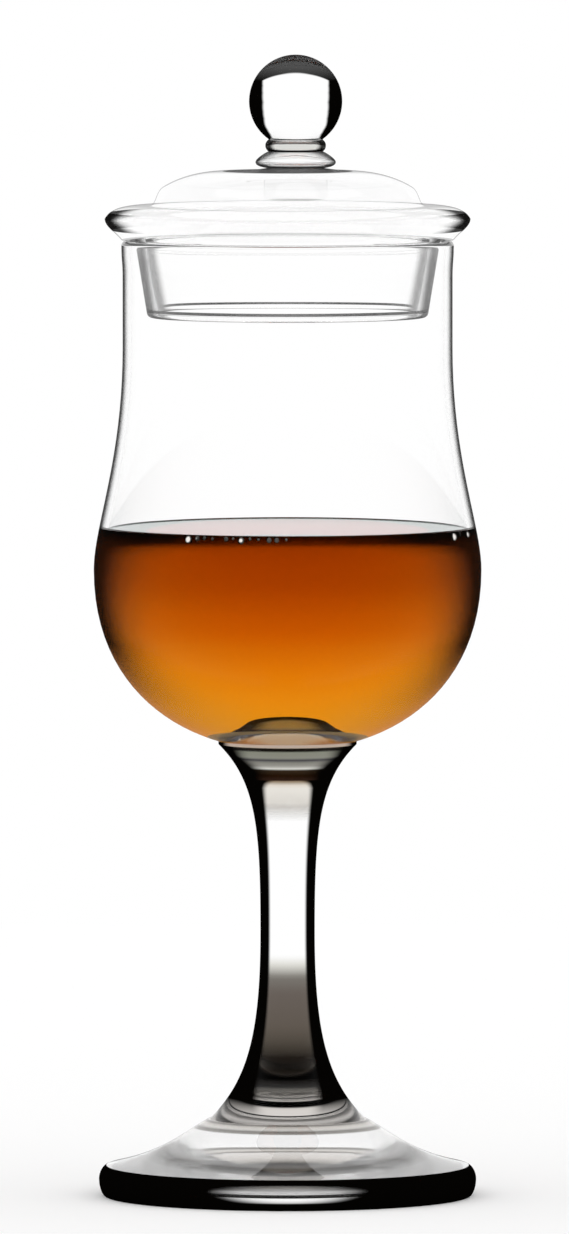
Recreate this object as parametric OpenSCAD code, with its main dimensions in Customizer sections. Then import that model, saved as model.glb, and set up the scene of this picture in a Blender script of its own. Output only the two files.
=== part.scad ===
// Whisky nosing glass on a stem, with a lift-off glass lid.
// The bowl, stem and foot are three gathers of glass fused hot; the lid is a blown cover
// with a tapered collar that drops into the mouth and a ball knob on a small disc.
// Millimetres, +Z up, origin on the table under the centre of the foot.

/* [Foot] */
// Diameter of the foot
foot_d = 61.2; // [54:0.2:70]
// Height of the foot where the stem joins it
foot_h = 12.5; // [10:0.1:16]
// Thickness of the foot's rolled edge
foot_edge_h = 5; // [3.6:0.1:6.4]
// How far the top of the rolled edge is drawn in from the widest place
foot_edge_in = 1.3; // [0.8:0.1:2.4]
// Rounding of the edge down to the table
foot_round = 1.1; // [0.6:0.1:2]
// Width of the flat ring that the glass stands on
foot_ring_w = 2.2; // [1.2:0.1:4]
// Height of the hollow under the foot
foot_hollow_h = 1.8; // [0.6:0.1:3]
// Ledge of the foot outside the seam with the stem
foot_ledge = 0.3; // [0.1:0.1:0.8]

/* [Stem] */
// Length of the stem from the foot to the bowl
stem_h = 61.4; // [45:0.2:80]
// Diameter at the waist of the stem
stem_waist_d = 8.8; // [7:0.1:11]
// Diameter at the stem's base
stem_base_d = 25.2; // [18:0.2:30]
// Diameter at the stem's top, under the bowl
stem_top_d = 22.4; // [16:0.2:26]
// Straight land at the top of the stem
stem_land_h = 0.5; // [0.2:0.1:1]

/* [Bowl] */
// Height of the bowl from the stem to the rim
bowl_h = 81.1; // [70:0.2:95]
// Greatest outside diameter of the bowl
bowl_d = 62.8; // [56:0.2:72]
// Outside diameter of the straight chimney
chimney_d = 53.4; // [48:0.2:58]
// How much the rim flares out from the chimney
rim_flare = 0.2; // [0:0.1:0.8]
// Thickness of the wall
bowl_wall = 1.4; // [1:0.1:2]
// Thickness of the glass at the centre of the bowl's bottom
bowl_bottom_t = 4.3; // [2.5:0.1:6]

/* [Whisky] */
// Depth of the whisky at the centre
whisky_depth = 29.1; // [10:0.1:45]
// How high the whisky climbs at the wall
meniscus_h = 1.3; // [0.5:0.1:2]
// How wide the climbing band of the whisky is
meniscus_w = 3.4; // [1.5:0.1:5]
// Gap between the whisky and the glass, so that the solids stay apart
whisky_gap = 0.03; // [0.01:0.01:0.1]

/* [Lid cover] */
// How far the flange reaches past the outside of the rim
flange_over = 2.7; // [1.5:0.1:5]
// Thickness of the flange
flange_t = 5.5; // [4.5:0.1:7]
// Height of the flange's edge above its underside
flange_edge_z = 3.4; // [2.6:0.1:4]
// Gap between the rim and the cover's seat
seat_gap = 0.15; // [0.1:0.05:0.3]
// Height of the crown above the seat
crown_h = 11.1; // [9:0.1:16]
// Width of the flat on the crown outside the knob's pad
crown_flat_w = 0.6; // [0.2:0.1:2]
// Width of the shoulder between the crown and the flange
shoulder_w = 2.1; // [1.4:0.1:3]
// Drop from the crown to its shoulder
crown_drop = 2.65; // [1.5:0.05:3.5]
// How far the shoulder's foot lies inside the outside of the rim
flange_w = 4.5; // [4:0.1:6]
// Thickness of the cover under the crown
crown_t = 1.4; // [1:0.1:2]

/* [Lid collar] */
// Depth that the collar reaches into the mouth
collar_h = 12.5; // [8:0.1:20]
// Thickness of the collar's wall
collar_wall = 1.7; // [1.2:0.1:2.6]
// Gap between the collar and the mouth at the rim
collar_gap = 0.8; // [0.3:0.1:1.2]
// How much the collar's radius narrows from its top to its end
collar_taper = 1.9; // [0.5:0.1:2.5]

/* [Knob] */
// Diameter of the ball
ball_d = 15.1; // [12:0.1:20]
// Height of the neck between the ring and the ball
neck_h = 0.1; // [0.1:0.1:1]
// Diameter of the ring at the ball's neck
neck_ring_d = 9.8; // [9.4:0.1:11]
// Diameter of the groove between the ring and the disc
groove_d = 8.8; // [8:0.1:9]
// Height of the ring at the ball's neck
neck_ring_h = 1.9; // [1.6:0.1:2.1]
// Diameter of the disc under the knob
disc_d = 13; // [11:0.2:16]
// Height of the disc with its pad
disc_h = 3.2; // [2.6:0.1:3.5]
// Height of the disc's widest place
disc_mid_z = 1.5; // [1.2:0.1:1.8]
// Diameter of the thin pad that spreads on the crown
pad_d = 17.2; // [16:0.2:22]
// Height of the pad where it meets the disc
pad_h = 0.5; // [0.3:0.1:0.8]
// Diameter of the gather's end inside the cover
root_d = 10.2; // [8:0.2:12]
// How far the gather's end hangs below the crown's underside
root_h = 3.2; // [1:0.1:4]
// Rounding of the gather's end
root_round = 0.9; // [0.4:0.1:1]
// How far the hand-set knob sits off the centre of the lid
knob_offset = 1.3; // [0:0.1:3]

/* [Fineness] */
// Straight pieces that make up each curve of an outline
curve_steps = 14; // [8:1:24]

/* [Hidden] */
$fn = 96;

glass_colour = [0.88, 0.93, 0.94, 0.45];
lid_colour = [0.84, 0.91, 0.93, 0.5];
whisky_colour = [0.78, 0.4, 0.06, 0.85];

foot_r = foot_d / 2;
stem_waist_r = stem_waist_d / 2;
stem_base_r = stem_base_d / 2;
stem_top_r = stem_top_d / 2;
bowl_r = bowl_d / 2;
chimney_r = chimney_d / 2;
rim_r = chimney_r + rim_flare;

// Where the waist, the belly, the chimney and the start of the flare lie, as shares of the height
waist_share = 0.497;
belly_share = 0.342;
chimney_share = 0.787;
flare_share = 0.926;

stem_z = foot_h;
waist_z = stem_z + stem_h * waist_share;
bowl_z = stem_z + stem_h;
belly_z = bowl_z + bowl_h * belly_share;
chimney_z = bowl_z + bowl_h * chimney_share;
flare_z = bowl_z + bowl_h * flare_share;
rim_z = bowl_z + bowl_h;
inside_z = bowl_z + bowl_bottom_t;
whisky_z = inside_z + whisky_depth;
seat_z = rim_z + seat_gap;
crown_z = seat_z + crown_h;
disc_z = crown_z + disc_h;

mouth_r = rim_r - bowl_wall;
collar_r = mouth_r - collar_gap;
collar_inner_r = collar_r - collar_wall;
collar_tip_r = collar_r - collar_taper;
collar_tip_z = seat_z - collar_h;
crown_under_z = crown_z - crown_t;

// Points of a curve from a to d, drawn towards b and c, without its first point
function curve(a, b, c, d) = [
    for (i = [1 : curve_steps])
        let (t = i / curve_steps, u = 1 - t)
            u * u * u * a + 3 * u * u * t * b + 3 * u * t * t * c + t * t * t * d
];

// A point that lies at a distance and an angle from another
function polar(from, angle, reach) = from + reach * [cos(angle), sin(angle)];

// Points of an arc about a centre
function arc(centre, radius, start, stop) = [
    for (i = [0 : curve_steps])
        polar(centre, start + (stop - start) * i / curve_steps, radius)
];

function backwards(points) = [for (i = [len(points) - 1 : -1 : 0]) points[i]];

// Radius of an outline at a height, between its points; the outline climbs
function radius_at(points, z, i = 0) =
    i + 1 >= len(points) - 1 || points[i + 1][1] >= z
        ? let (a = points[i], b = points[i + 1])
            a[0] + (b[0] - a[0]) * (z - a[1]) / (b[1] - a[1])
        : radius_at(points, z, i + 1);

// Outside of the cup, from the stem's edge up to the belly
cup_angle = 16;
cup_low_share = 0.52;
cup_high_share = 0.59;
function cup_outside() = curve(
    [stem_top_r, bowl_z],
    polar([stem_top_r, bowl_z], cup_angle, (bowl_r - stem_top_r) * cup_low_share),
    [bowl_r, belly_z - (belly_z - bowl_z) * cup_high_share],
    [bowl_r, belly_z]);

// Inside of the cup, from the centre of the bottom up to the belly
cup_flat_share = 0.6;
cup_inner_share = 0.6;
function cup_inside(r) = curve(
    [0, inside_z],
    [r * cup_flat_share, inside_z],
    [r, belly_z - (belly_z - inside_z) * cup_inner_share],
    [r, belly_z]);

// Draws the belly in to the chimney, at one radius and the other
taper_low_share = 0.2;
taper_high_share = 0.51;
function taper(low_r, high_r) = curve(
    [low_r, belly_z],
    [low_r, belly_z + (chimney_z - belly_z) * taper_low_share],
    [high_r, chimney_z - (chimney_z - belly_z) * taper_high_share],
    [high_r, chimney_z]);

// The chimney's end, which flares a little to the rim's rounding
flare_soft_share = 0.5;
function flare(r, top) = curve(
    [r, flare_z],
    [r, flare_z + (top - flare_z) * flare_soft_share],
    [r + rim_flare, top - (top - flare_z) * flare_soft_share],
    [r + rim_flare, top]);

inner_belly_r = bowl_r - bowl_wall;
inner_chimney_r = chimney_r - bowl_wall;
lip_r = bowl_wall / 2;

function bowl_inside(gap = 0) = concat(
    [[0, inside_z]],
    cup_inside(inner_belly_r - gap),
    taper(inner_belly_r - gap, inner_chimney_r - gap));

// The blown bowl: round cup, straight chimney and fire-polished rim
module bowl() {
    color(glass_colour)
        rotate_extrude()
            polygon(concat(
                [[0, bowl_z], [stem_top_r, bowl_z]],
                cup_outside(),
                taper(bowl_r, chimney_r),
                flare(chimney_r, rim_z - lip_r),
                arc([rim_r - lip_r, rim_z - lip_r], lip_r, 0, 180),
                backwards(flare(inner_chimney_r, rim_z - lip_r)),
                backwards(bowl_inside())));
}

// The drawn stem: flared at both ends and narrow at the waist
stem_flare_angle = 45;
stem_pull_share = 0.28;
stem_waist_share = 0.55;
module stem() {
    top = [stem_top_r, bowl_z - stem_land_h];
    base = [stem_base_r, stem_z];
    high_waist = (top[1] - waist_z) * stem_waist_share;
    low_waist = (waist_z - stem_z) * stem_waist_share;
    color(glass_colour)
        rotate_extrude()
            polygon(concat(
                [[0, stem_z], base],
                curve(
                    base,
                    polar(base, 180 - stem_flare_angle, stem_h * stem_pull_share / 2),
                    [stem_waist_r, waist_z - low_waist],
                    [stem_waist_r, waist_z]),
                curve(
                    [stem_waist_r, waist_z],
                    [stem_waist_r, waist_z + high_waist],
                    polar(top, 180 + stem_flare_angle, stem_h * stem_pull_share / 2),
                    top),
                [[stem_top_r, bowl_z], [0, bowl_z]]));
}

// The spun foot: sloping top, rolled edge, flat ring on the table and a shallow hollow
foot_steep_angle = 30;
foot_low_angle = 12;
foot_in_share = 0.3;
foot_out_share = 0.57;
foot_widest_share = 0.55;
foot_bulge_share = 0.5;
hollow_share = 0.35;
module foot() {
    seam = [stem_base_r + foot_ledge, foot_h];
    edge = [foot_r - foot_edge_in, foot_edge_h];
    widest = [foot_r, foot_edge_h * foot_widest_share];
    down = [foot_r - foot_round, 0];
    ring_r = foot_r - foot_round - foot_ring_w;
    run = edge[0] - seam[0];
    color(glass_colour)
        rotate_extrude()
            polygon(concat(
                [[0, foot_hollow_h]],
                backwards(curve(
                    [ring_r, 0],
                    [ring_r * (1 - hollow_share), foot_hollow_h],
                    [ring_r * hollow_share, foot_hollow_h],
                    [0, foot_hollow_h])),
                [[ring_r, 0], down],
                curve(
                    down,
                    [foot_r - foot_round * foot_bulge_share, 0],
                    [foot_r, widest[1] * foot_bulge_share],
                    widest),
                curve(
                    widest,
                    widest + [0, (edge[1] - widest[1]) * foot_bulge_share],
                    polar(edge, -foot_low_angle, foot_edge_in * foot_bulge_share),
                    edge),
                curve(
                    edge,
                    polar(edge, 180 - foot_low_angle, run * foot_out_share),
                    polar(seam, -foot_steep_angle, run * foot_in_share),
                    seam),
                [[0, foot_h]]));
}

// The whisky: fills the bowl to its level and climbs the wall in a meniscus
meniscus_soft_share = 0.6;
module whisky() {
    wall = bowl_inside(whisky_gap);
    contact_z = whisky_z + meniscus_h;
    wall_r = radius_at(wall, contact_z);
    under = [for (p = wall) if (p[1] < contact_z) p + [0, whisky_gap * (1 - p[0] / wall_r)]];
    flat_r = wall_r - meniscus_w;
    color(whisky_colour)
        rotate_extrude()
            polygon(concat(
                under,
                [[wall_r, contact_z]],
                curve(
                    [wall_r, contact_z],
                    [wall_r, contact_z - meniscus_h * meniscus_soft_share],
                    [wall_r - meniscus_w * (1 - meniscus_soft_share), whisky_z],
                    [flat_r, whisky_z]),
                [[0, whisky_z]]));
}

// The cover: a low crown that sweeps out into a thick flange with a rounded edge
crown_out_share = 0.4;
crown_in_share = 0.25;
shoulder_share = 0.3;
flange_flat_share = 0.42;
flange_tip_share = 0.16;
flange_under_share = 0.35;
inside_wall_share = 0.87;
inside_crown_share = 0.53;
module lid_cover() {
    flange_top_z = seat_z + flange_t;
    crown_foot = [rim_r - flange_w, flange_top_z];
    shoulder = [crown_foot[0] - shoulder_w, crown_z - crown_drop];
    tip = [rim_r + flange_over, seat_z + flange_edge_z];
    flat_r = pad_d / 2 + knob_offset + crown_flat_w;
    run = shoulder[0] - flat_r;
    over = tip[0] - crown_foot[0];
    color(lid_colour) {
        rotate_extrude()
            polygon(concat(
                [[0, crown_z], [flat_r, crown_z]],
                curve(
                    [flat_r, crown_z],
                    [flat_r + run * crown_out_share, crown_z],
                    shoulder + [-run * crown_in_share, crown_drop * (1 - crown_out_share)],
                    shoulder),
                curve(
                    shoulder,
                    shoulder + [over * shoulder_share / 2, -crown_drop * shoulder_share],
                    crown_foot - [over * shoulder_share / 2, 0],
                    crown_foot),
                curve(
                    crown_foot,
                    crown_foot + [over * flange_flat_share, 0],
                    [tip[0] - over * flange_tip_share, flange_top_z],
                    tip),
                curve(
                    tip,
                    tip - [0, flange_edge_z * flange_under_share],
                    [rim_r + flange_over * flange_under_share, seat_z + flange_edge_z * flange_under_share],
                    [rim_r, seat_z]),
                [[collar_inner_r, seat_z]],
                curve(
                    [collar_inner_r, seat_z],
                    [collar_inner_r - collar_wall / 2, seat_z + (crown_under_z - seat_z) * inside_wall_share],
                    [collar_inner_r * inside_crown_share, crown_under_z],
                    [0, crown_under_z])));
        knob_root();
    }
}

// The rounded end of the knob's gather, which shows under the crown
module knob_root() {
    root_r = root_d / 2;
    end_z = crown_under_z - root_h;
    translate([knob_offset, 0, 0])
        rotate_extrude()
            polygon(concat(
                [[0, crown_under_z + crown_t / 2], [0, end_z]],
                arc([root_r - root_round, end_z + root_round], root_round, -90, 0),
                [[root_r, crown_under_z + crown_t / 2]]));
}

// The collar: a tapered ring with a rounded end that drops into the mouth
module lid_collar() {
    tip_round = collar_wall / 2;
    color(lid_colour)
        rotate_extrude()
            polygon(concat(
                [[collar_inner_r, seat_z], [collar_inner_r - collar_taper, collar_tip_z + tip_round]],
                arc([collar_tip_r - tip_round, collar_tip_z + tip_round], tip_round, 180, 360),
                [[collar_r, seat_z]]));
}

// The pressed disc between the crown and the knob, with its thin pad on the crown
disc_soft_share = 0.35;
module knob_disc() {
    waist = [groove_d / 2, crown_z + pad_h];
    widest = [disc_d / 2, crown_z + disc_mid_z];
    top = [groove_d / 2, disc_z];
    color(lid_colour)
        translate([knob_offset, 0, 0])
            rotate_extrude()
                polygon(concat(
                    [[0, crown_z], [pad_d / 2, crown_z]],
                    curve(
                        [pad_d / 2, crown_z],
                        [disc_d / 2, crown_z + pad_h * disc_soft_share],
                        waist + [disc_mid_z * disc_soft_share, 0],
                        waist),
                    curve(
                        waist,
                        waist + [disc_mid_z, pad_h * disc_soft_share],
                        widest - [0, pad_h],
                        widest),
                    curve(
                        widest,
                        widest + [0, pad_h],
                        top + [disc_mid_z * disc_soft_share, -pad_h * disc_soft_share],
                        top),
                    [[0, disc_z]]));
}

// The ball knob with the ring at its neck; a curve swells to three quarters of its handles
neck_soft_share = 0.25;
swell_share = 4 / 3;
module knob() {
    ball_r = ball_d / 2;
    groove_r = groove_d / 2;
    handle_r = groove_r + (neck_ring_d / 2 - groove_r) * swell_share;
    ring_top_z = disc_z + neck_ring_h;
    neck_angle = -acos(groove_r / ball_r);
    centre_z = ring_top_z + neck_h - ball_r * sin(neck_angle);
    bulge = neck_ring_h * neck_soft_share;
    color(lid_colour)
        translate([knob_offset, 0, 0])
            rotate_extrude()
                polygon(concat(
                    [[0, disc_z], [groove_r, disc_z]],
                    curve(
                        [groove_r, disc_z],
                        [handle_r, disc_z + bulge],
                        [handle_r, ring_top_z - bulge],
                        [groove_r, ring_top_z]),
                    arc([0, centre_z], ball_r, neck_angle, 90)));
}

bowl();
stem();
foot();
whisky();
lid_cover();
lid_collar();
knob_disc();
knob();
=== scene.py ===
import bpy
import math
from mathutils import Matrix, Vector


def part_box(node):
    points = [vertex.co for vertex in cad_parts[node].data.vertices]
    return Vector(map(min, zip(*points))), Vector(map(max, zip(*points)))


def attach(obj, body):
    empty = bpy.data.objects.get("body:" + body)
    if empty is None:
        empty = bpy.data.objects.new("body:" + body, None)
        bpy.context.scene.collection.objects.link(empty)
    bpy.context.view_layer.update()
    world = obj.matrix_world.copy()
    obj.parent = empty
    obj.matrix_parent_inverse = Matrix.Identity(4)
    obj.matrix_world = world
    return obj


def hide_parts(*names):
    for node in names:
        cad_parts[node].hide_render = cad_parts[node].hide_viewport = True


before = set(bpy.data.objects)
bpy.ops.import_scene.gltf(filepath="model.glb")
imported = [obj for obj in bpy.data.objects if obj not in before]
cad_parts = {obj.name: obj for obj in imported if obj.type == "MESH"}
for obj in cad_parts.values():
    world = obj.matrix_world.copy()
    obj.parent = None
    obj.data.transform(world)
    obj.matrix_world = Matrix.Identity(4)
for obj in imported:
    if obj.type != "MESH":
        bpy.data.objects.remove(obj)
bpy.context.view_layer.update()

MM = 0.001

# Fineness of the turned glass: faces round the axis, and pieces in each curve

SEGMENTS = 192
CURVE_STEPS = 20

# Sizes read from the frame

bowl_low, bowl_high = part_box("bowl")
stem_low, stem_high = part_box("stem")
cover_low, cover_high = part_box("lid_cover")
collar_low, collar_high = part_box("lid_collar")
disc_low, disc_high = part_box("knob_disc")
knob_low, knob_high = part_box("knob")

BOWL_R = bowl_high.x
BOWL_Z = bowl_low.z
RIM_Z = bowl_high.z
STEM_Z = stem_low.z
STEM_BASE_R = stem_high.x
FOOT_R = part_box("foot")[1].x
CONTACT_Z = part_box("whisky")[1].z
SEAT_Z = cover_low.z
CROWN_Z = cover_high.z
FLANGE_R = cover_high.x
COLLAR_R = collar_high.x
COLLAR_TIP_Z = collar_low.z
DISC_Z = disc_high.z
PAD_R = (disc_high.x - disc_low.x) / 2
KNOB_X = (knob_low.x + knob_high.x) / 2
BALL_R = (knob_high.x - knob_low.x) / 2

# Sizes that the boxes don't give, the same as in the part's source

STEM_WAIST_R = 4.4 * MM
STEM_TOP_R = 11.2 * MM
STEM_LAND = 0.5 * MM
CHIMNEY_R = 26.7 * MM
RIM_FLARE = 0.2 * MM
WALL = 1.4 * MM
BOTTOM_T = 4.3 * MM
FOOT_EDGE_H = 5 * MM
FOOT_EDGE_IN = 1.3 * MM
FOOT_ROUND = 1.1 * MM
FOOT_RING_W = 2.2 * MM
FOOT_HOLLOW = 1.8 * MM
FOOT_LEDGE = 0.3 * MM
FLANGE_T = 5.5 * MM
FLANGE_EDGE = 3.4 * MM
FLANGE_W = 4.5 * MM
CROWN_FLAT = 0.6 * MM
CROWN_DROP = 2.65 * MM
CROWN_T = 1.4 * MM
SHOULDER_W = 2.1 * MM
COLLAR_WALL = 1.7 * MM
COLLAR_TAPER = 1.9 * MM
RING_R = 4.9 * MM
RING_H = 1.9 * MM
GROOVE_R = 4.4 * MM
NECK_H = 0.1 * MM
DISC_R = 6.5 * MM
DISC_MID = 1.5 * MM
PAD_H = 0.5 * MM
ROOT_R = 5.1 * MM
ROOT_H = 3.2 * MM
ROOT_ROUND = 0.9 * MM

# Sizes that only the looks need

JOINT_Z = 68.3 * MM           # where the stem's skin gives way to the hot joint's
KICK_FLAT = 4.0 * MM          # raised middle of the bowl's floor: its flat top, foot and height
KICK_R = 11.0 * MM
KICK_H = 4.9 * MM
MENISCUS_H = 0.15 * MM        # a low climb, since a tall one mirrors the dark whisky
MENISCUS_W = 0.6 * MM
WHISKY_SWELL = 0.12 * MM      # the whisky reaches into the glass, so that no air shows between
LIP_R = 28.6 * MM             # where the flange's thick lip starts
# The dark line inside the collar is painted shade.
TIP_LINE = (0.65 * MM, 0.15 * MM)   # dark line inside the collar: its ends above the rounding

# Bubbles at the whisky's edge: angle in degrees, radius and depth in mm

BUBBLES = (
    (-121.6, 0.7, 0.7), (-118.6, 0.5, 0.5), (-116.2, 0.36, 0.4), (-113.5, 0.28, 0.5),
    (-109.0, 0.44, 0.5), (-106.8, 0.28, 0.4), (-104.2, 0.6, 0.7), (-101.5, 0.28, 0.4),
    (-98.9, 0.26, 0.5), (-95.6, 0.48, 0.6), (-93.3, 0.48, 0.6), (-90.4, 0.26, 0.5),
    (-28.5, 0.8, 0.9), (-24.0, 0.5, 0.6), (-18.0, 0.7, 0.8))
BUBBLE_SUNK = 0.2
BUBBLE_ROWS = 8
BUBBLE_AROUND = 12

# Where the waist of the stem and the belly, chimney and flare of the bowl lie, as shares of
# their piece's height

WAIST_SHARE = 0.497
BELLY_SHARE = 0.342
CHIMNEY_SHARE = 0.787
FLARE_SHARE = 0.926

# How the curves bend: angles in degrees, and shares of the run that they belong to

CUP_ANGLE = 16
CUP_LOW_SHARE = 0.52
CUP_HIGH_SHARE = 0.59
CUP_FLAT_SHARE = 0.6
CUP_INNER_SHARE = 0.6
TAPER_LOW_SHARE = 0.2
TAPER_HIGH_SHARE = 0.51
STEM_FLARE_ANGLE = 45
STEM_PULL_SHARE = 0.14
STEM_WAIST_SHARE = 0.55
FOOT_STEEP_ANGLE = 30
FOOT_LOW_ANGLE = 12
FOOT_IN_SHARE = 0.3
FOOT_OUT_SHARE = 0.57
FOOT_WIDEST_SHARE = 0.55
HOLLOW_SHARE = 0.35
MENISCUS_SOFT_SHARE = 0.6
CROWN_OUT_SHARE = 0.4
CROWN_IN_SHARE = 0.25
SHOULDER_OUT_SHARE = 0.15
SHOULDER_DROP_SHARE = 0.3
FLANGE_FLAT_SHARE = 0.42
FLANGE_TIP_SHARE = 0.16
FLANGE_UNDER_SHARE = 0.35
INSIDE_WALL_SHARE = 0.87
INSIDE_CROWN_SHARE = 0.53
DISC_SOFT_SHARE = 0.35
RING_SOFT_SHARE = 0.25
RING_SWELL_SHARE = 4 / 3

# Heights and widths that follow from these

WAIST_Z = STEM_Z + (BOWL_Z - STEM_Z) * WAIST_SHARE
BELLY_Z = BOWL_Z + (RIM_Z - BOWL_Z) * BELLY_SHARE
CHIMNEY_Z = BOWL_Z + (RIM_Z - BOWL_Z) * CHIMNEY_SHARE
FLARE_Z = BOWL_Z + (RIM_Z - BOWL_Z) * FLARE_SHARE
INSIDE_Z = BOWL_Z + BOTTOM_T
RIM_R = CHIMNEY_R + RIM_FLARE
FLANGE_TOP_Z = SEAT_Z + FLANGE_T
CROWN_UNDER_Z = CROWN_Z - CROWN_T
CROWN_FOOT = (RIM_R - FLANGE_W, FLANGE_TOP_Z)
SHOULDER = (CROWN_FOOT[0] - SHOULDER_W, CROWN_Z - CROWN_DROP)
FLANGE_TIP = (FLANGE_R, SEAT_Z + FLANGE_EDGE)
FLANGE_RUN = FLANGE_TIP[0] - CROWN_FOOT[0]
COLLAR_INNER_R = COLLAR_R - COLLAR_WALL
RING_TOP_Z = DISC_Z + RING_H
NECK_ANGLE = -math.degrees(math.acos(GROOVE_R / BALL_R))
BALL_Z = RING_TOP_Z + NECK_H - BALL_R * math.sin(math.radians(NECK_ANGLE))

# Camera: the photograph's height and scale, and where it was taken from

PHOTO_H = 1234
MM_PER_PIXEL = 0.162
CAMERA_DISTANCE = 3.2
CAMERA_ELEVATION = 3.3
CAMERA_AIM = (-0.5 * MM, 0.0, 94.0 * MM)

TABLE_R = 0.6
TABLE_SIDES = 128


# Outlines: lists of (radius, height) points

def curve(a, b, c, d, steps=CURVE_STEPS):
    """Points of a curve from a to d, drawn towards b and c, without its first point."""
    points = []
    for i in range(1, steps + 1):
        t = i / steps
        u = 1 - t
        points.append(tuple(
            u ** 3 * p + 3 * u * u * t * q + 3 * u * t * t * r + t ** 3 * s
            for p, q, r, s in zip(a, b, c, d)))
    return points


def polar(start, angle, reach):
    """The point that lies at a distance and an angle in degrees from another."""
    turn = math.radians(angle)
    return (start[0] + reach * math.cos(turn), start[1] + reach * math.sin(turn))


def arc(centre, radius, start, stop, steps=CURVE_STEPS):
    """Points of an arc about a centre, both ends among them."""
    return [polar(centre, start + (stop - start) * i / steps, radius)
            for i in range(steps + 1)]


def cut_at(points, height):
    """A rising outline with one more point, at the given height."""
    after = next(i for i, p in enumerate(points) if p[1] > height)
    (low_r, low_z), (high_r, high_z) = points[after - 1], points[after]
    share = (height - low_z) / (high_z - low_z)
    return points[:after] + [(low_r + (high_r - low_r) * share, height)] + points[after:]


def foot_outside():
    """The foot from the centre of its hollow, under and round the edge, up to the seam."""
    seam = (STEM_BASE_R + FOOT_LEDGE, STEM_Z)
    edge = (FOOT_R - FOOT_EDGE_IN, FOOT_EDGE_H)
    widest = (FOOT_R, FOOT_EDGE_H * FOOT_WIDEST_SHARE)
    down = (FOOT_R - FOOT_ROUND, 0.0)
    ring = (FOOT_R - FOOT_ROUND - FOOT_RING_W, 0.0)
    run = edge[0] - seam[0]
    hollow = curve(
        ring,
        (ring[0] * (1 - HOLLOW_SHARE), FOOT_HOLLOW),
        (ring[0] * HOLLOW_SHARE, FOOT_HOLLOW),
        (0.0, FOOT_HOLLOW))
    low_edge = curve(down, (FOOT_R - FOOT_ROUND / 2, 0.0), (FOOT_R, widest[1] / 2), widest)
    high_edge = curve(
        widest,
        (FOOT_R, (widest[1] + edge[1]) / 2),
        polar(edge, -FOOT_LOW_ANGLE, FOOT_EDGE_IN / 2),
        edge)
    slope = curve(
        edge,
        polar(edge, 180 - FOOT_LOW_ANGLE, run * FOOT_OUT_SHARE),
        polar(seam, -FOOT_STEEP_ANGLE, run * FOOT_IN_SHARE),
        seam)
    return hollow[::-1] + [ring, down] + low_edge + high_edge + slope


def stem_outside():
    """The stem from the foot's seam up to the bowl."""
    base = (STEM_BASE_R, STEM_Z)
    waist = (STEM_WAIST_R, WAIST_Z)
    top = (STEM_TOP_R, BOWL_Z - STEM_LAND)
    pull = (BOWL_Z - STEM_Z) * STEM_PULL_SHARE
    low = (WAIST_Z - STEM_Z) * STEM_WAIST_SHARE
    high = (top[1] - WAIST_Z) * STEM_WAIST_SHARE
    narrowing = curve(
        base,
        polar(base, 180 - STEM_FLARE_ANGLE, pull),
        (STEM_WAIST_R, WAIST_Z - low),
        waist, 2 * CURVE_STEPS)
    widening = curve(
        waist,
        (STEM_WAIST_R, WAIST_Z + high),
        polar(top, 180 + STEM_FLARE_ANGLE, pull),
        top, 2 * CURVE_STEPS)
    return [base] + narrowing + widening + [(STEM_TOP_R, BOWL_Z)]


def cup_outside():
    """The round cup from the stem's edge up to the belly."""
    start = (STEM_TOP_R, BOWL_Z)
    return curve(
        start,
        polar(start, CUP_ANGLE, (BOWL_R - STEM_TOP_R) * CUP_LOW_SHARE),
        (BOWL_R, BELLY_Z - (BELLY_Z - BOWL_Z) * CUP_HIGH_SHARE),
        (BOWL_R, BELLY_Z))


def taper(low_r, high_r):
    """The wall from the belly up to the chimney, at one radius and the other."""
    rise = CHIMNEY_Z - BELLY_Z
    return curve(
        (low_r, BELLY_Z),
        (low_r, BELLY_Z + rise * TAPER_LOW_SHARE),
        (high_r, CHIMNEY_Z - rise * TAPER_HIGH_SHARE),
        (high_r, CHIMNEY_Z))


def flare(r, top):
    """The chimney's end, which flares a little up to the rim's rounding."""
    soft = (top - FLARE_Z) / 2
    return curve(
        (r, FLARE_Z), (r, FLARE_Z + soft), (r + RIM_FLARE, top - soft), (r + RIM_FLARE, top))


def bowl_inside(swell=0.0):
    """Inside of the bowl from its centre up, or a little into the glass, with the low dome
    that its joint to the stem leaves in the middle."""
    r = BOWL_R - WALL + swell
    bottom = INSIDE_Z - swell
    cup = curve(
        (0.0, bottom),
        (r * CUP_FLAT_SHARE, bottom),
        (r, BELLY_Z - (BELLY_Z - bottom) * CUP_INNER_SHARE),
        (r, BELLY_Z),
        2 * CURVE_STEPS)
    dome = []
    for x, z in [(0.0, bottom)] + cup:
        out = min(max((x - KICK_FLAT) / (KICK_R - KICK_FLAT), 0.0), 1.0)
        dome.append((x, z + KICK_H * (0.5 + 0.5 * math.cos(math.pi * out))))
    return cut_at(dome + taper(r, CHIMNEY_R - WALL + swell), CONTACT_Z)


def whisky_top(edge):
    """The whisky's surface, from its contact with the wall down the meniscus and in."""
    edge_r = edge[0]
    flat_z = CONTACT_Z - MENISCUS_H
    climb = curve(
        edge,
        (edge_r, CONTACT_Z - MENISCUS_H * MENISCUS_SOFT_SHARE),
        (edge_r - MENISCUS_W * (1 - MENISCUS_SOFT_SHARE), flat_z),
        (edge_r - MENISCUS_W, flat_z))
    return climb + [(edge_r / 2, flat_z), (0.0, flat_z)]


def root_outside():
    """The rounded end of the knob's gather, which hangs inside the cover."""
    end_z = CROWN_UNDER_Z - ROOT_H
    rounding = arc((ROOT_R - ROOT_ROUND, end_z + ROOT_ROUND), ROOT_ROUND, -90, 0)
    return [(0.0, end_z)] + rounding + [(ROOT_R, CROWN_UNDER_Z)]


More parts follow.
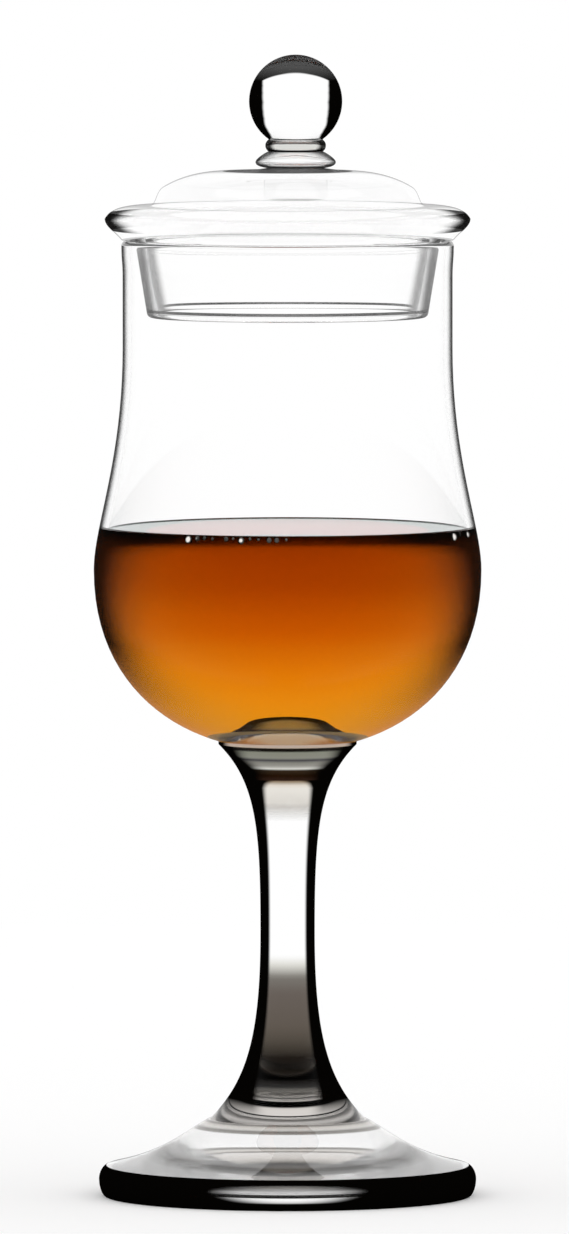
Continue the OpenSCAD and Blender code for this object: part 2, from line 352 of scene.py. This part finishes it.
def cover_inside():
    """The hollow of the cover, from the gather's end out and down to the collar."""
    hollow = curve(
        (COLLAR_INNER_R, SEAT_Z),
        (COLLAR_INNER_R - COLLAR_WALL / 2, SEAT_Z + (CROWN_UNDER_Z - SEAT_Z) * INSIDE_WALL_SHARE),
        (COLLAR_INNER_R * INSIDE_CROWN_SHARE, CROWN_UNDER_Z),
        (0.0, CROWN_UNDER_Z), 2 * CURVE_STEPS)
    clear_r = ROOT_R + abs(KNOB_X) + ROOT_ROUND
    return [p for p in hollow[::-1] if p[0] > clear_r] + [(COLLAR_INNER_R, SEAT_Z)]


def collar_outside():
    """Two points of the collar's inner wall just above its end, and its end and outside."""
    round_r = COLLAR_WALL / 2
    centre = (COLLAR_R - COLLAR_TAPER - round_r, COLLAR_TIP_Z + round_r)
    rounding = arc(centre, round_r, 180, 360)
    inner_r, inner_z = rounding[0]
    slope = (COLLAR_INNER_R - inner_r) / (SEAT_Z - inner_z)
    line = [(inner_r + rise * slope, inner_z + rise) for rise in TIP_LINE]
    return line, rounding + [(COLLAR_R, SEAT_Z)]


def flange_outside():
    """The flange from the rim out to its tip, and from there in to the crown's foot."""
    under = curve(
        FLANGE_TIP,
        (FLANGE_R, FLANGE_TIP[1] - FLANGE_EDGE * FLANGE_UNDER_SHARE),
        (RIM_R + (FLANGE_R - RIM_R) * FLANGE_UNDER_SHARE,
         SEAT_Z + FLANGE_EDGE * FLANGE_UNDER_SHARE),
        (RIM_R, SEAT_Z))
    upper = curve(
        CROWN_FOOT,
        (CROWN_FOOT[0] + FLANGE_RUN * FLANGE_FLAT_SHARE, FLANGE_TOP_Z),
        (FLANGE_R - FLANGE_RUN * FLANGE_TIP_SHARE, FLANGE_TOP_Z),
        FLANGE_TIP)
    return under[-2::-1] + [FLANGE_TIP] + upper[-2::-1] + [CROWN_FOOT]


def crown_outside():
    """The crown from its foot over the shoulder to the flat under the knob."""
    flat = (PAD_R + abs(KNOB_X) + CROWN_FLAT, CROWN_Z)
    run = SHOULDER[0] - flat[0]
    sweep = curve(
        SHOULDER,
        (SHOULDER[0] + FLANGE_RUN * SHOULDER_OUT_SHARE,
         SHOULDER[1] - CROWN_DROP * SHOULDER_DROP_SHARE),
        (CROWN_FOOT[0] - FLANGE_RUN * SHOULDER_OUT_SHARE, FLANGE_TOP_Z),
        CROWN_FOOT)
    crown = curve(
        flat,
        (flat[0] + run * CROWN_OUT_SHARE, CROWN_Z),
        (SHOULDER[0] - run * CROWN_IN_SHARE, SHOULDER[1] + CROWN_DROP * (1 - CROWN_OUT_SHARE)),
        SHOULDER)
    return sweep[-2::-1] + [SHOULDER] + crown[-2::-1] + [flat]


def disc_outside():
    """The disc from its thin pad on the crown up to the groove under the ring."""
    pad = (PAD_R, CROWN_Z)
    waist = (GROOVE_R, CROWN_Z + PAD_H)
    widest = (DISC_R, CROWN_Z + DISC_MID)
    top = (GROOVE_R, DISC_Z)
    soft_r = DISC_MID * DISC_SOFT_SHARE
    soft_h = PAD_H * DISC_SOFT_SHARE
    return (
        [pad]
        + curve(pad, (DISC_R, CROWN_Z + soft_h), (GROOVE_R + soft_r, waist[1]), waist)
        + curve(waist, (GROOVE_R + DISC_MID, waist[1] + soft_h),
                (DISC_R, widest[1] - PAD_H), widest)
        + curve(widest, (DISC_R, widest[1] + PAD_H), (GROOVE_R + soft_r, DISC_Z - soft_h), top))


def ring_outside():
    """The ring at the knob's neck; a curve swells to three quarters of its handles."""
    handle_r = GROOVE_R + (RING_R - GROOVE_R) * RING_SWELL_SHARE
    bulge = RING_H * RING_SOFT_SHARE
    return curve(
        (GROOVE_R, DISC_Z), (handle_r, DISC_Z + bulge),
        (handle_r, RING_TOP_Z - bulge), (GROOVE_R, RING_TOP_Z))


def ball_outside():
    """The ball from its neck to its top, which lies on the axis."""
    ball = arc((0.0, BALL_Z), BALL_R, NECK_ANGLE, 90, 2 * CURVE_STEPS)
    return ball[:-1] + [(0.0, BALL_Z + BALL_R)]


# Meshes

def new_piece(name, verts, faces, materials, smooth=True):
    """An object with its mesh, in the scene."""
    mesh = bpy.data.meshes.new(name)
    mesh.from_pydata(verts, [], faces)
    for material in materials:
        mesh.materials.append(material)
    mesh.polygons.foreach_set("use_smooth", [smooth] * len(faces))
    made = bpy.data.objects.new(name, mesh)
    bpy.context.scene.collection.objects.link(made)
    return made


def banded(points, material, middle=0.0):
    """Rings from outline points, with one material and one centre."""
    return [(r, z, middle, material) for r, z in points]


def turned(name, rings, materials, creases=()):
    """A closed mesh turned about +Z from rings of (radius, height, centre x, material).
    The band of faces that ends at a ring takes that ring's material, and a ring listed in
    creases keeps its sharp edge."""
    verts, faces, slots, starts = [], [], [], []
    for radius, height, middle, _ in rings:
        starts.append(len(verts))
        count = 1 if radius == 0 else SEGMENTS
        for k in range(count):
            turn = 2 * math.pi * k / SEGMENTS
            verts.append((middle + radius * math.cos(turn), radius * math.sin(turn), height))
    for i in range(1, len(rings)):
        low, high = starts[i - 1], starts[i]
        for k in range(SEGMENTS):
            after = (k + 1) % SEGMENTS
            if rings[i - 1][0] == 0:
                faces.append((low, high + after, high + k))
            elif rings[i][0] == 0:
                faces.append((low + k, low + after, high))
            else:
                faces.append((low + k, low + after, high + after, high + k))
            slots.append(rings[i][3])
    made = new_piece(name, verts, faces, materials)
    made.data.polygons.foreach_set("material_index", slots)
    sharp = {starts[i] + k for i in creases for k in range(SEGMENTS)}
    for edge in made.data.edges:
        if edge.vertices[0] in sharp and edge.vertices[1] in sharp:
            edge.use_edge_sharp = True
    made.data.validate()
    return made


# Materials

GLASS_IOR = 1.52
WHISKY_IOR = 1.36
WHISKY_DENSITY = 110.0
# Painted reflection on the whisky's surface: a matt layer, pale where it is seen from the side.
SHEEN_TURN = (0.7, 0.92)       # facing between which the whisky's surface turns from brown to pale
SHEEN_CLEAR = (0.2, 0.74)      # how much of it is clear at the two ends of that
# A bubble's bright heart and dark rim are painted highlight and shade.
BUBBLE_RIM = (0.25, 0.6)      # facing between which a bubble turns dark
BUBBLE_ROUGHNESS = 0.15
WAVE_STRENGTH = 0.06
WAVE_DEPTH = 0.1 * MM
TABLE_LIFT = 0.85             # how far the sight of the table through glass is lifted to white


def linear(text):
    """A colour for a shader from an sRGB hex value."""
    values = [int(text[i:i + 2], 16) / 255 for i in (0, 2, 4)]
    return tuple(v / 12.92 if v <= 0.04045 else ((v + 0.055) / 1.055) ** 2.4
                 for v in values) + (1.0,)


def add(tree, kind, inputs=None, **settings):
    """Adds a node, sets its properties, and links or sets its inputs."""
    made = tree.nodes.new(kind)
    for name, value in settings.items():
        setattr(made, name, value)
    for name, value in (inputs or {}).items():
        if isinstance(value, bpy.types.NodeSocket):
            tree.links.new(value, made.inputs[name])
        else:
            made.inputs[name].default_value = value
    return made


def new_material(name):
    """An empty material and its node tree."""
    material = bpy.data.materials.new(name)
    material.use_nodes = True
    material.node_tree.nodes.clear()
    return material, material.node_tree


def by_height(tree, stops):
    """A colour that changes with the height on the object through (mm, hex) stops."""
    low, high = stops[0][0], stops[-1][0]
    place = add(tree, "ShaderNodeTexCoord").outputs["Object"]
    height = add(tree, "ShaderNodeSeparateXYZ", {"Vector": place}).outputs["Z"]
    share = add(tree, "ShaderNodeMapRange", {
        "Value": height, "From Min": low * MM, "From Max": high * MM})
    ramp = add(tree, "ShaderNodeValToRGB", {"Fac": share.outputs["Result"]})
    points = ramp.color_ramp.elements
    while len(points) < len(stops):
        points.new(0.5)
    for point, (level, text) in zip(points, stops):
        point.position = (level - low) / (high - low)
        point.color = linear(text)
    return ramp.outputs["Color"]


def clear_glass(name, edge, wave_mm, most=1.0, thin=1.0, gloss=1.0, shine="000000",
                tint_and_shade="FFFFFF", reach=(), shift=(), painted_light_share=(), painted_light_tones=()):
    """Soda-lime glass, fire-polished. It is clear face on, and where it is seen edge on a black
    matt layer of painted shade is mixed in, for the dark room that glass in front of a white
    sheet bends into view: the painted shade starts and ends at the two values of edge, from 0
    face on to 1 edge on, and most is its strength. Slow waves of wave_mm show that the glass
    was worked hot. thin is below 1 on a thin wall, which lets the rest of the light straight
    through, gloss is below 1 where something wet lies behind it, and shine tints its mirror.
    smoke is one colour of the glass, or (mm, hex) stops by height that paint shade into it. By
    height too, reach thins the painted dark edge, shift widens it, and veil mixes in a matt
    layer of painted_light_tones, painted light and shade for the room that the glass shows."""
    material, tree = new_material(name)
    facing = add(tree, "ShaderNodeLayerWeight", {"Blend": 0.5}).outputs["Facing"]
    if shift:
        facing = add(tree, "ShaderNodeMath", {0: facing, 1: by_height(tree, shift)}).outputs[0]
    dark = add(tree, "ShaderNodeMapRange", {
        "Value": facing, "From Min": edge[0], "From Max": edge[1], "To Max": most},
        interpolation_type="SMOOTHSTEP").outputs["Result"]
    if reach:
        dark = add(tree, "ShaderNodeMath", {0: dark, 1: by_height(tree, reach)},
                   operation="MULTIPLY").outputs[0]
    place = add(tree, "ShaderNodeTexCoord").outputs["Object"]
    waves = add(tree, "ShaderNodeTexNoise", {
        "Vector": place, "Scale": 1 / (wave_mm * MM), "Detail": 1.0, "Roughness": 0.4})
    bump = add(tree, "ShaderNodeBump", {
        "Height": waves.outputs["Fac"],
        "Strength": WAVE_STRENGTH,
        "Distance": WAVE_DEPTH}).outputs["Normal"]
    # The glass's own tint, or painted shade where it is given as stops by height.
    shade = linear(tint_and_shade) if isinstance(tint_and_shade, str) else by_height(tree, tint_and_shade)
    surface = add(tree, "ShaderNodeBsdfPrincipled", {
        "Base Color": shade,
        "Transmission Weight": 1.0,
        "IOR": GLASS_IOR,
        "Specular Tint": linear(shine),
        "Roughness": 0.0,
        "Alpha": thin,
        "Normal": bump}).outputs[0]
    if gloss < 1:
        wet = add(tree, "ShaderNodeBsdfRefraction", {
            "Color": shade, "IOR": GLASS_IOR, "Normal": bump})
        surface = add(tree, "ShaderNodeMixShader", {
            0: gloss, 1: wet.outputs[0], 2: surface}).outputs[0]
    # Painted light and shade: a matt layer with tones by height, for the room that the glass
    # shows.
    if painted_light_share:
        painted_light_layer = add(tree, "ShaderNodeBsdfDiffuse", {"Color": by_height(tree, painted_light_tones)})
        surface = add(tree, "ShaderNodeMixShader", {
            0: by_height(tree, painted_light_share), 1: surface, 2: painted_light_layer.outputs[0]}).outputs[0]
    # Painted shade: a black matt layer mixed in where the glass is seen edge on.
    painted_edge_shade = add(tree, "ShaderNodeBsdfDiffuse", {"Color": linear("050403")})
    both = add(tree, "ShaderNodeMixShader", {0: dark, 1: surface, 2: painted_edge_shade.outputs[0]})
    add(tree, "ShaderNodeOutputMaterial", {"Surface": both.outputs[0]})
    return material


def body_glass():
    """The skins of the glass body, in the order of their numbers in glass_body."""
    return [
        # Slope of the spun foot: clear and shiny, with rings of painted shade at the seam, where
        # the stem's gather was fused on. It reads as pale grey glass with dark circles at the
        # seam.
        clear_glass("spun_foot_glass", (0.935, 1.0), 14, shine="FFFFFF", tint_and_shade=[
            (11.0, "FFFFFF"), (11.15, "5A5650"), (11.5, "3A3632"), (11.8, "B8B4AC"),
            (12.1, "A0988E"), (12.3, "3A3632"), (12.5, "4A443E")]),
        # Solid drawn stem, a rod that bends light like a lens: a white core between painted black
        # sides, painted shade on its lower half, darkest just above the seam, and painted bands
        # of light and shade, cream to dark brown, under its top.
        clear_glass("drawn_stem_glass", (0.2, 0.3), 12, tint_and_shade=[
            (12.6, "C8C2BC"), (15, "B0A8A0"), (17.2, "4A4640"), (18.2, "050505"),
            (21, "080503"), (24, "4A443C"), (27, "605850"), (33, "68605A"),
            (35.5, "7A7670"), (37.6, "E0DFD8"), (39, "FFFFFF"), (67.3, "FFFFFF")],
            reach=[(13.5, "404040"), (16, "FFFFFF")],
            shift=[(66.6, "000000"), (67.4, "303030"), (68.3, "5A5A5A")],
            painted_light_share=[(61.3, "000000"), (63.2, "A8A8A8"), (64.2, "E4E4E4"), (66, "F8F8F8"),
                  (68.3, "FFFFFF")],
            painted_light_tones=[(66.6, "FCF8F0"), (67.1, "F4ECE0"), (67.7, "A08C74"),
                         (68.3, "33221A")]),
        # Thin blown wall of the chimney: nothing but a fine painted grey line at each side.
        clear_glass("blown_chimney_glass", (0.72, 0.88), 18, most=0.92),
        # Rolled edge of the foot, so tightly rounded that it is painted black but for one
        # highlight where the clear glass faces the eye.
        clear_glass("rolled_edge_glass", (0.02, 0.1), 18),
        # Wall of the cup with whisky behind it: no mirror, with painted shade that shows
        # brown-black towards its sides and in a band below the whisky's edge.
        clear_glass("blown_cup_glass", (0.28, 0.82), 18, most=0.95, gloss=0.15,
                    reach=[(74, "404040"), (80, "808080"), (90, "FFFFFF")],
                    shift=[(92, "000000"), (100, "404040"), (104.8, "5A5A5A"),
                           (106.2, "7A7A7A"), (107.4, "BCBCBC")]),
        # Fire-polished rim and the dry inner wall: clear, with a hair of painted grey at the rim.
        clear_glass("fire_polished_rim", (0.95, 1.0), 18, most=0.5),
        # Joint where bowl and stem were fused: painted bands of brown, grey and cream for the
        # room that it bends into view, between painted black sides.
        clear_glass("hot_joint_glass", (0.42, 0.66), 12,
                    shift=[(69.3, "8A8A8A"), (71.8, "000000")],
                    painted_light_share=[(68.0, "FFFFFF"), (69.8, "FAFAFA"), (70.0, "E8E8E8"),
                          (73.9, "E8E8E8")],
                    painted_light_tones=[
                        (68.0, "33221A"), (68.7, "241306"), (69.6, "382C20"), (69.9, "F4F4EC"),
                        (70.3, "B4B2AA"), (70.9, "9C9B92"), (71.3, "504E54"), (71.7, "A4A498"),
                        (72.6, "A0A292"), (72.9, "1A1814"), (73.3, "1A1208"),
                        (73.45, "F0DCC8"), (73.9, "F0DCD0")]),
        # Raised floor of the cup under the whisky: a lens of painted light in cream, gold and
        # pale violet with a painted dark rim, which shows brown through the whisky.
        clear_glass("kicked_floor_glass", (0.53, 0.7), 12, most=0.92,
                    painted_light_share=[(78, "F0F0F0"), (79.6, "E8E8E8"), (80.6, "B4B4B4"), (84, "C0C0C0")],
                    painted_light_tones=[(78, "FFE4B8"), (79.6, "FFD898"), (81.2, "F0C070"),
                                 (82.2, "E0DCF0"), (84, "E4E0F0")]),
        # Pressed underside of the foot: a matt white layer of painted light for the lit table
        # under it, with one soft ring of painted shade, so that the slope above it shows light
        # grey.
        clear_glass("pressed_underside_glass", (0.99, 1.0), 14, shine="FFFFFF", most=0.5,
                    painted_light_share=[(0.0, "C8C8C8"), (1.0, "C4C4C4"), (1.2, "D0D0D0"), (1.4, "D0D0D0"),
                          (1.55, "909090"), (1.72, "484848"), (1.8, "484848")],
                    painted_light_tones=[(0.95, "FFFFFF"), (1.25, "605C58"), (1.35, "605C58"),
                                 (1.5, "FFFFFF")])]


# How wide the knob's painted dark edge is, by height as a share of its radius. The clear core
# stands upright under an arched top and narrows to the neck, and the painted shade of the cap
# over it is a little weaker.

KNOB_CORE = (
    (-0.8, "6D6D6D"), (-0.7, "8F8F8F"), (-0.6, "9D9D9D"), (-0.5, "A6A6A6"), (-0.35, "B6B6B6"),
    (-0.2, "BEBEBE"), (0.0, "C3C3C3"), (0.2, "BEBEBE"), (0.35, "B4B4B4"), (0.46, "A6A6A6"),
    (0.55, "BFBFBF"), (0.6, "CBCBCB"), (0.66, "D3D3D3"))
KNOB_CAP = ((0.45, "FFFFFF"), (0.75, "F6F6F6"))


def lid_glass():
    """The skins of the lid, in the order of their numbers in glass_lid."""
    core, cap = [
        [((BALL_Z + BALL_R * share) / MM, tone) for share, tone in shape]
        for shape in (KNOB_CORE, KNOB_CAP)]
    return [
        # Blown collar: a wall thick enough for a soft band of painted grey at each side.
        clear_glass("blown_collar_glass", (0.56, 0.76), 16, most=0.82),
        # Thin blown cover: all but invisible, with a painted hairline for its contour.
        clear_glass("blown_cover_glass", (0.88, 1.0), 16, most=0.5, thin=0.04),
        # Solid ball: painted black crescents and a painted dark grey cap round a white core.
        clear_glass("solid_knob_glass", (0.79, 0.86), 10, reach=cap, shift=core),
        # Pressed disc: clear with painted grey edges.
        clear_glass("pressed_disc_glass", (0.42, 0.75), 10, most=0.85, thin=0.7),
        # Rolled lip of the flange: painted black only at its two tips.
        clear_glass("rolled_lip_glass", (0.6, 0.78), 10, most=0.95, thin=0.15),
        # Rounded end of the collar: a painted dark line all the way round.
        clear_glass("rolled_tip_glass", (-0.4, 0.1), 10, most=0.85),
        # Inside of the cover: invisible.
        clear_glass("cover_inside_glass", (0.98, 1.0), 16, most=0.3, thin=0.04),
        # Tooled ring at the neck, tinted a shade grey, with painted black ends.
        clear_glass("tooled_ring_glass", (0.25, 0.5), 10, most=0.95, tint_and_shade="DADAD6")]


def malt_whisky(name, shades=()):
    """Cask-aged whisky: amber that deepens to red-brown where there is more of it. shades lists
    (mm, hex) stops of painted shade, which darken it towards its surface; without them it is the
    surface itself, with a matt layer of painted reflection that is pale from the side, where
    whisky mirrors the room, and brown from above."""
    material, tree = new_material(name)
    surface = add(tree, "ShaderNodeBsdfPrincipled", {
        "Base Color": by_height(tree, shades) if shades else linear("FFFFFF"),
        "Transmission Weight": 1.0,
        "IOR": WHISKY_IOR,
        "Specular Tint": linear("000000"),
        "Roughness": 0.0})
    if not shades:
        facing = add(tree, "ShaderNodeLayerWeight", {"Blend": 0.5}).outputs["Facing"]
        turn = {"Value": facing, "From Min": SHEEN_TURN[0], "From Max": SHEEN_TURN[1]}
        side = add(tree, "ShaderNodeMapRange", turn)
        clear = add(tree, "ShaderNodeMapRange", {
            **turn, "To Min": SHEEN_CLEAR[0], "To Max": SHEEN_CLEAR[1]})
        tone = add(tree, "ShaderNodeMix", {
            0: side.outputs["Result"], 6: linear("9A5418"), 7: linear("DCF6F2")},
            data_type="RGBA")
        painted_sheen_and_amber = add(tree, "ShaderNodeBsdfDiffuse", {"Color": tone.outputs[2]})
        surface = add(tree, "ShaderNodeMixShader", {
            0: clear.outputs["Result"], 1: painted_sheen_and_amber.outputs[0], 2: surface.outputs[0]})
    depth = add(tree, "ShaderNodeVolumeAbsorption", {
        "Color": linear("FDE300"), "Density": WHISKY_DENSITY})
    add(tree, "ShaderNodeOutputMaterial", {
        "Surface": surface.outputs[0], "Volume": depth.outputs[0]})
    return material


def bubble_film():
    """Air in a skin of whisky: a painted highlight in its heart and a painted dark rim."""
    material, tree = new_material("bubble_film")
    facing = add(tree, "ShaderNodeLayerWeight", {"Blend": 0.5}).outputs["Facing"]
    rim = add(tree, "ShaderNodeMapRange", {
        "Value": facing, "From Min": BUBBLE_RIM[0], "From Max": BUBBLE_RIM[1]})
    shade = add(tree, "ShaderNodeMix", {
        0: rim.outputs["Result"], 6: linear("F4F0EA"), 7: linear("1C0E06")}, data_type="RGBA")
    surface = add(tree, "ShaderNodeBsdfPrincipled", {
        "Base Color": shade.outputs[2], "Roughness": BUBBLE_ROUGHNESS, "IOR": WHISKY_IOR})
    add(tree, "ShaderNodeOutputMaterial", {"Surface": surface.outputs[0]})
    return material


def white_table():
    """Matt white board. The sight of it, by eye or through the glass, is lifted to the white
    of the room, and it keeps the glass's shadow."""
    material, tree = new_material("white_table")
    path = add(tree, "ShaderNodeLightPath").outputs
    glass = add(tree, "ShaderNodeMath", {
        0: path["Is Glossy Ray"], 1: path["Is Transmission Ray"]},
        operation="MAXIMUM").outputs[0]
    seen = add(tree, "ShaderNodeMath", {0: path["Is Camera Ray"], 1: glass}, operation="MAXIMUM")
    share = add(tree, "ShaderNodeMath", {0: glass, 1: TABLE_LIFT}, operation="MULTIPLY")
    board = add(tree, "ShaderNodeBsdfDiffuse", {"Color": linear("F4F4F4")})
    lift = add(tree, "ShaderNodeEmission", {
        "Color": linear("595959"), "Strength": seen.outputs[0]})
    both = add(tree, "ShaderNodeAddShader", {0: board.outputs[0], 1: lift.outputs[0]})
    bright = add(tree, "ShaderNodeEmission", {"Color": linear("FFFFFF")})
    shown = add(tree, "ShaderNodeMixShader", {
        0: share.outputs[0], 1: both.outputs[0], 2: bright.outputs[0]})
    add(tree, "ShaderNodeOutputMaterial", {"Surface": shown.outputs[0]})
    return material


# Pieces

def glass_body():
    """Bowl, stem and foot fused into one lump, with a skin of glass for each gather."""
    foot, stem, bowl, edge, cup, inside, top, floor, under = range(9)
    rings = [(r, z, 0.0, edge if r > FOOT_R - FOOT_EDGE_IN and z > 0
              else under if z <= FOOT_HOLLOW else foot) for r, z in foot_outside()]
    seam = len(rings) - 1
    rings += [(r, z, 0.0, top if z > JOINT_Z else stem) for r, z in stem_outside()]
    joint = len(rings) - 1
    rings += [(r, z, 0.0, cup if z <= CONTACT_Z else bowl)
              for r, z in cut_at(cup_outside() + taper(BOWL_R, CHIMNEY_R), CONTACT_Z)]
    lip = (RIM_R - WALL / 2, RIM_Z - WALL / 2)
    rings += banded(flare(CHIMNEY_R, lip[1]), bowl)
    rings += banded(arc(lip, WALL / 2, 0, 180)[1:], inside)
    rings += banded(flare(CHIMNEY_R - WALL, lip[1])[-2::-1], inside)
    rings += [(r, z, 0.0, floor if r < KICK_R else cup if z < CONTACT_Z else inside)
              for r, z in bowl_inside()[::-1]]
    made = turned("glass_body", rings, body_glass(), (seam, seam + 1, joint - 1, joint))
    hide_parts("bowl", "stem", "foot")
    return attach(made, "glass")


def whisky_body():
    """The whisky with its low meniscus. Painted shade darkens it towards the surface, to near
    black just under it."""
    body, surface = 0, 1
    wall = [p for p in bowl_inside(WHISKY_SWELL) if p[1] <= CONTACT_Z]
    rings = banded(wall, body) + banded(whisky_top(wall[-1]), surface)
    contact = CONTACT_Z / MM
    made = turned("whisky", rings, [
        # Painted shade by height: white low down, darkening to near black at the surface.
        malt_whisky("malt_whisky", [
            (80, "FFFFFF"), (87, "F2E8D6"), (93.5, "CEA874"), (100, "AB7C40"),
            (contact - 4, "A07030"), (contact - 1.7, "8E6228"), (contact - 1.1, "5A3A18"),
            (contact - 0.6, "281608"), (contact, "0C0602")]),
        malt_whisky("whisky_surface")],
        (len(wall) - 1,))
    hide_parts("whisky")
    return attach(made, "glass")


def bubbles():
    """A few small bubbles that cling where the whisky meets the glass, as after pouring."""
    verts, faces = [], []
    for turn, size, drop in BUBBLES:
        radius = size * MM
        out = BOWL_R - WALL + radius * BUBBLE_SUNK
        angle = math.radians(turn)
        middle = Vector((out * math.cos(angle), out * math.sin(angle), CONTACT_Z - drop * MM))
        start = len(verts)
        for i in range(1, BUBBLE_ROWS):
            lean = math.pi * i / BUBBLE_ROWS
            for k in range(BUBBLE_AROUND):
                side = 2 * math.pi * k / BUBBLE_AROUND
                verts.append(middle + radius * Vector((
                    math.sin(lean) * math.cos(side), math.sin(lean) * math.sin(side),
                    math.cos(lean))))
        verts.append(middle + Vector((0, 0, radius)))
        verts.append(middle - Vector((0, 0, radius)))
        top, bottom = len(verts) - 2, len(verts) - 1
        last = start + (BUBBLE_ROWS - 2) * BUBBLE_AROUND
        for k in range(BUBBLE_AROUND):
            after = (k + 1) % BUBBLE_AROUND
            faces.append((top, start + k, start + after))
            for row in range(start, last, BUBBLE_AROUND):
                below = row + BUBBLE_AROUND
                faces.append((row + k, below + k, below + after, row + after))
            faces.append((bottom, last + after, last + k))
    made = new_piece("whisky_bubbles", [tuple(v) for v in verts], faces, [bubble_film()])
    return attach(made, "glass")


def glass_lid():
    """Cover, collar, disc and ball knob fused into one lump."""
    collar, cover, knob, disc, lip, tip_inside, hollow, ring = range(8)
    line, collar_wall = collar_outside()
    rings = banded(root_outside(), cover, KNOB_X) + banded(cover_inside(), hollow)
    rings += banded(line[:1], collar) + banded(line[1:], tip_inside)
    rings += banded(collar_wall, collar)
    seat = len(rings) - 1
    rings += banded([(RIM_R, SEAT_Z)], cover)
    rings += [(r, z, 0.0, lip if r > LIP_R else cover) for r, z in flange_outside()]
    rings += banded(crown_outside(), cover)
    pad_edge = len(rings)
    rings += banded(disc_outside(), disc, KNOB_X)
    groove = len(rings) - 1
    rings += banded(ring_outside(), ring, KNOB_X) + banded(ball_outside(), knob, KNOB_X)
    made = turned("glass_lid", rings, lid_glass(), (seat, seat + 1, pad_edge, groove))
    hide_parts("lid_cover", "lid_collar", "knob_disc", "knob")
    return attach(made, "lid")


# Table, light and camera

def table_top():
    """A round white board, wide enough to carry the sight of the glass from above."""
    turns = [2 * math.pi * k / TABLE_SIDES for k in range(TABLE_SIDES)]
    verts = [(TABLE_R * math.cos(turn), TABLE_R * math.sin(turn), 0.0) for turn in turns]
    made = new_piece(
        "table_top", verts, [tuple(range(TABLE_SIDES))], [white_table()], smooth=False)


def studio_world():
    """An even white studio, bright enough that a colour shows as it is written."""
    world = bpy.data.worlds.new("studio")
    bpy.context.scene.world = world
    world.use_nodes = True
    tree = world.node_tree
    tree.nodes.clear()
    light = add(tree, "ShaderNodeBackground", {"Color": linear("FFFFFF"), "Strength": 1.0})
    add(tree, "ShaderNodeOutputWorld", {"Surface": light.outputs[0]})


def photo_camera():
    """A long lens a little above the glass, framed as the photograph is."""
    data = bpy.data.cameras.new("photo_camera")
    data.sensor_width = 36
    data.lens = data.sensor_width * CAMERA_DISTANCE / (PHOTO_H * MM_PER_PIXEL * MM)
    data.clip_start = 0.1
    data.clip_end = 20
    camera = bpy.data.objects.new("photo_camera", data)
    tilt = math.radians(CAMERA_ELEVATION)
    back = Vector((0.0, -math.cos(tilt), math.sin(tilt)))
    camera.location = Vector(CAMERA_AIM) + back * CAMERA_DISTANCE
    camera.rotation_mode = "QUATERNION"
    camera.rotation_quaternion = (-back).to_track_quat("-Z", "Y")
    bpy.context.scene.collection.objects.link(camera)
    bpy.context.scene.camera = camera


photo_camera()
glass_body()
whisky_body()
bubbles()
glass_lid()
table_top()
studio_world()
bpy.context.scene.view_settings.view_transform = "Standard"
